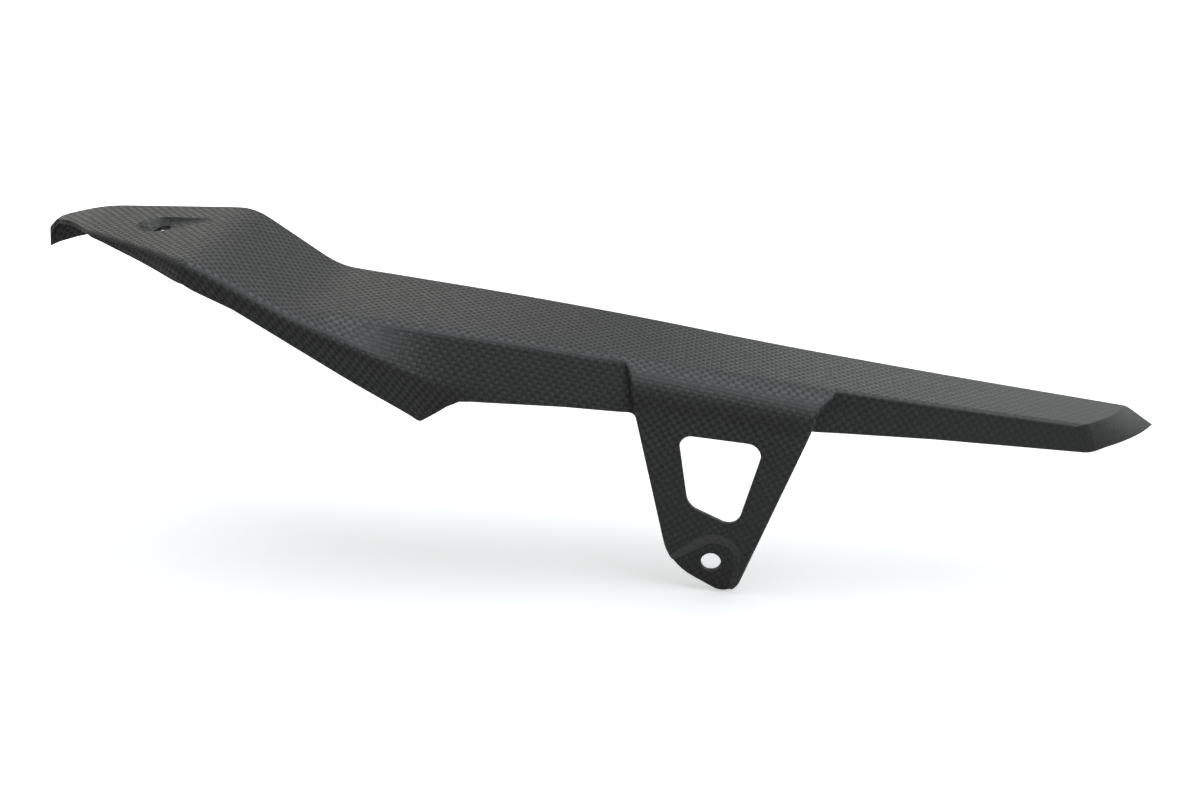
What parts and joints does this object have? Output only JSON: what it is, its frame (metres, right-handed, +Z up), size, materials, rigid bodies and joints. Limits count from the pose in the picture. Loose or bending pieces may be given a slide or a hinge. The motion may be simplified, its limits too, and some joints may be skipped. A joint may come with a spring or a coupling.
{
  "type": "motorcycle chain guard",
  "caption": "Long moulded laminate guard for a motorcycle's drive chain: a flat-topped open channel with a raised front end and a windowed bracket.",
  "frame": {"origin": "centre of the rear fixing hole at the outer face of its pad", "axes": "+X rearward along the flat deck, +Y across it from the outer side towards the wheel, +Z up square to the deck"},
  "size_m": [0.5216, 0.0756, 0.1191],
  "materials": {
    "laminate": "satin clear resin over plain-weave carbon cloth, seen as a fine square weave"
  },
  "bodies": {
    "root": {"chain_guard": "laminate"}
  },
  "joints": []
}
